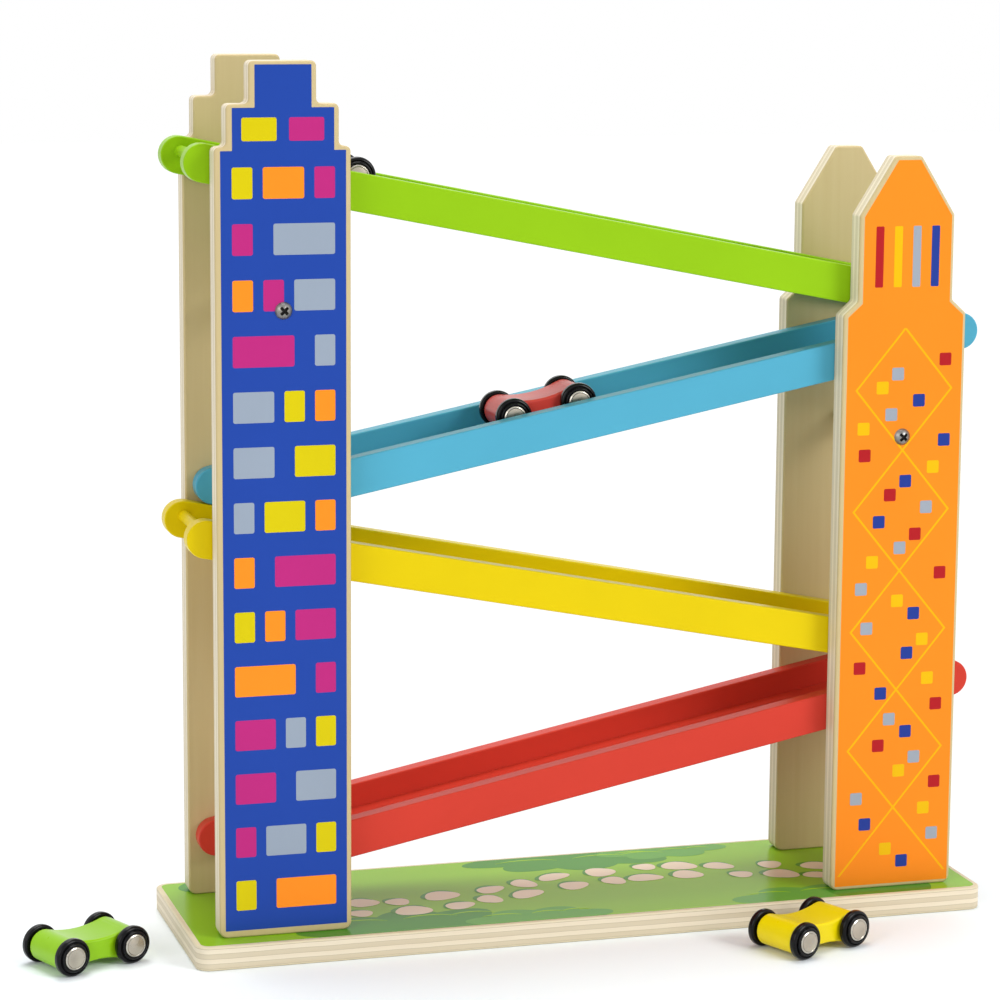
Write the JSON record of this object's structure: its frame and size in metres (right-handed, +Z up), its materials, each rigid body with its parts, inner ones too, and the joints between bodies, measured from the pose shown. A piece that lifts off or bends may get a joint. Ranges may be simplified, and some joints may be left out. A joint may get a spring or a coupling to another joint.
{
  "type": "click clack track toy",
  "caption": "Wooden toy with sloping tracks zigzagging between towers on a board, and small cars that roll down and drop from track to track.",
  "frame": {"origin": "middle of the base board's underside, on the surface that the toy stands on", "axes": "+X to the right along the board, +Y from the printed front to the back, +Z up"},
  "size_m": [0.481, 0.1736, 0.4273],
  "materials": {
    "printed_board": "printed plywood, satin",
    "blue_print": "printed plywood, satin",
    "orange_print": "printed plywood, satin",
    "bare_plywood": "sanded plywood",
    "bare_wood": "sanded, unfinished",
    "red_paint": "painted, satin",
    "yellow_paint": "painted, satin",
    "blue_paint": "painted, satin",
    "green_paint": "painted, satin",
    "dark_blue_paint": "painted, satin",
    "black_plastic": "glossy",
    "nickel": "polished nickel",
    "zinc_steel": "zinc plated"
  },
  "bodies": {
    "toy": {"base_board": "printed_board", "left_front_panel": "blue_print", "left_back_panel": "bare_plywood", "right_front_panel": "orange_print", "right_back_panel": "bare_plywood", "left_cross_rod": "bare_wood", "right_cross_rod": "bare_wood", "rod_screws": "zinc_steel", "base_screws": "zinc_steel", "track_pegs": "bare_wood", "red_track_front_rail": "red_paint", "red_track_back_rail": "red_paint", "red_track_floor": "red_paint", "yellow_track_front_rail": "yellow_paint", "yellow_track_back_rail": "yellow_paint", "yellow_track_floor": "yellow_paint", "blue_track_front_rail": "blue_paint", "blue_track_back_rail": "blue_paint", "blue_track_floor": "blue_paint", "green_track_front_rail": "green_paint", "green_track_back_rail": "green_paint", "green_track_floor": "green_paint", "left_track_stops": "green_paint", "right_track_stops": "blue_paint"},
    "red_car": {"red_car_body": "red_paint"},
    "red_car_front_wheelset": {"red_car_front_axle": "zinc_steel", "red_car_front_left_wheel": "black_plastic", "red_car_front_right_wheel": "black_plastic", "red_car_front_caps": "nickel"},
    "red_car_rear_wheelset": {"red_car_rear_axle": "zinc_steel", "red_car_rear_left_wheel": "black_plastic", "red_car_rear_right_wheel": "black_plastic", "red_car_rear_caps": "nickel"},
    "green_car": {"green_car_body": "green_paint"},
    "green_car_front_wheelset": {"green_car_front_axle": "zinc_steel", "green_car_front_left_wheel": "black_plastic", "green_car_front_right_wheel": "black_plastic", "green_car_front_caps": "nickel"},
    "green_car_rear_wheelset": {"green_car_rear_axle": "zinc_steel", "green_car_rear_left_wheel": "black_plastic", "green_car_rear_right_wheel": "black_plastic", "green_car_rear_caps": "nickel"},
    "yellow_car": {"yellow_car_body": "yellow_paint"},
    "yellow_car_front_wheelset": {"yellow_car_front_axle": "zinc_steel", "yellow_car_front_left_wheel": "black_plastic", "yellow_car_front_right_wheel": "black_plastic", "yellow_car_front_caps": "nickel"},
    "yellow_car_rear_wheelset": {"yellow_car_rear_axle": "zinc_steel", "yellow_car_rear_left_wheel": "black_plastic", "yellow_car_rear_right_wheel": "black_plastic", "yellow_car_rear_caps": "nickel"},
    "blue_car": {"blue_car_body": "dark_blue_paint"},
    "blue_car_front_wheelset": {"blue_car_front_axle": "zinc_steel", "blue_car_front_left_wheel": "black_plastic", "blue_car_front_right_wheel": "black_plastic", "blue_car_front_caps": "nickel"},
    "blue_car_rear_wheelset": {"blue_car_rear_axle": "zinc_steel", "blue_car_rear_left_wheel": "black_plastic", "blue_car_rear_right_wheel": "black_plastic", "blue_car_rear_caps": "nickel"}
  },
  "joints": [
    {"name": "red_car_run", "type": "slide", "parent": "toy", "child": "red_car", "axis": [-0.981, 0, -0.1941], "range_m": [-0.1848, 0.0977]},
    {"name": "red_car_front_axle_turn", "type": "hinge", "parent": "red_car", "child": "red_car_front_wheelset", "pos_m": [-0.03527, 0, 0.25392], "axis": [0, -1, 0], "continuous": true},
    {"name": "red_car_rear_axle_turn", "type": "hinge", "parent": "red_car", "child": "red_car_rear_wheelset", "pos_m": [-0.00251, 0, 0.26041], "axis": [0, -1, 0], "continuous": true},
    {"name": "green_car_run", "type": "slide", "parent": "toy", "child": "green_car", "axis": [0.9212, 0.3891, 0], "range_m": [-0.15, 0.015]},
    {"name": "green_car_front_axle_turn", "type": "hinge", "parent": "green_car", "child": "green_car_front_wheelset", "pos_m": [-0.23422, -0.0196, 0.00915], "axis": [-0.3891, 0.9212, 0], "continuous": true},
    {"name": "green_car_rear_axle_turn", "type": "hinge", "parent": "green_car", "child": "green_car_rear_wheelset", "pos_m": [-0.26498, -0.0326, 0.00915], "axis": [-0.3891, 0.9212, 0], "continuous": true},
    {"name": "yellow_car_run", "type": "slide", "parent": "toy", "child": "yellow_car", "axis": [0.9212, 0.3891, 0], "range_m": [-0.15, 0.015]},
    {"name": "yellow_car_front_axle_turn", "type": "hinge", "parent": "yellow_car", "child": "yellow_car_front_wheelset", "pos_m": [0.10888, -0.08545, 0.00915], "axis": [-0.3891, 0.9212, 0], "continuous": true},
    {"name": "yellow_car_rear_axle_turn", "type": "hinge", "parent": "yellow_car", "child": "yellow_car_rear_wheelset", "pos_m": [0.07812, -0.09845, 0.00915], "axis": [-0.3891, 0.9212, 0], "continuous": true},
    {"name": "blue_car_run", "type": "slide", "parent": "toy", "child": "blue_car", "axis": [0.981, 0, -0.1941], "range_m": [-0.033, 0.2495]},
    {"name": "blue_car_front_axle_turn", "type": "hinge", "parent": "blue_car", "child": "blue_car_front_wheelset", "pos_m": [-0.11364, 0, 0.37179], "axis": [0, 1, 0], "continuous": true},
    {"name": "blue_car_rear_axle_turn", "type": "hinge", "parent": "blue_car", "child": "blue_car_rear_wheelset", "pos_m": [-0.1464, 0, 0.37828], "axis": [0, 1, 0], "continuous": true}
  ],
  "couplings": [
    {"joint": "red_car_front_axle_turn", "follows": "red_car_run", "rad_per_m": 109.29},
    {"joint": "red_car_rear_axle_turn", "follows": "red_car_run", "rad_per_m": 109.29},
    {"joint": "green_car_front_axle_turn", "follows": "green_car_run", "rad_per_m": 109.29},
    {"joint": "green_car_rear_axle_turn", "follows": "green_car_run", "rad_per_m": 109.29},
    {"joint": "yellow_car_front_axle_turn", "follows": "yellow_car_run", "rad_per_m": 109.29},
    {"joint": "yellow_car_rear_axle_turn", "follows": "yellow_car_run", "rad_per_m": 109.29},
    {"joint": "blue_car_front_axle_turn", "follows": "blue_car_run", "rad_per_m": 109.29},
    {"joint": "blue_car_rear_axle_turn", "follows": "blue_car_run", "rad_per_m": 109.29}
  ]
}
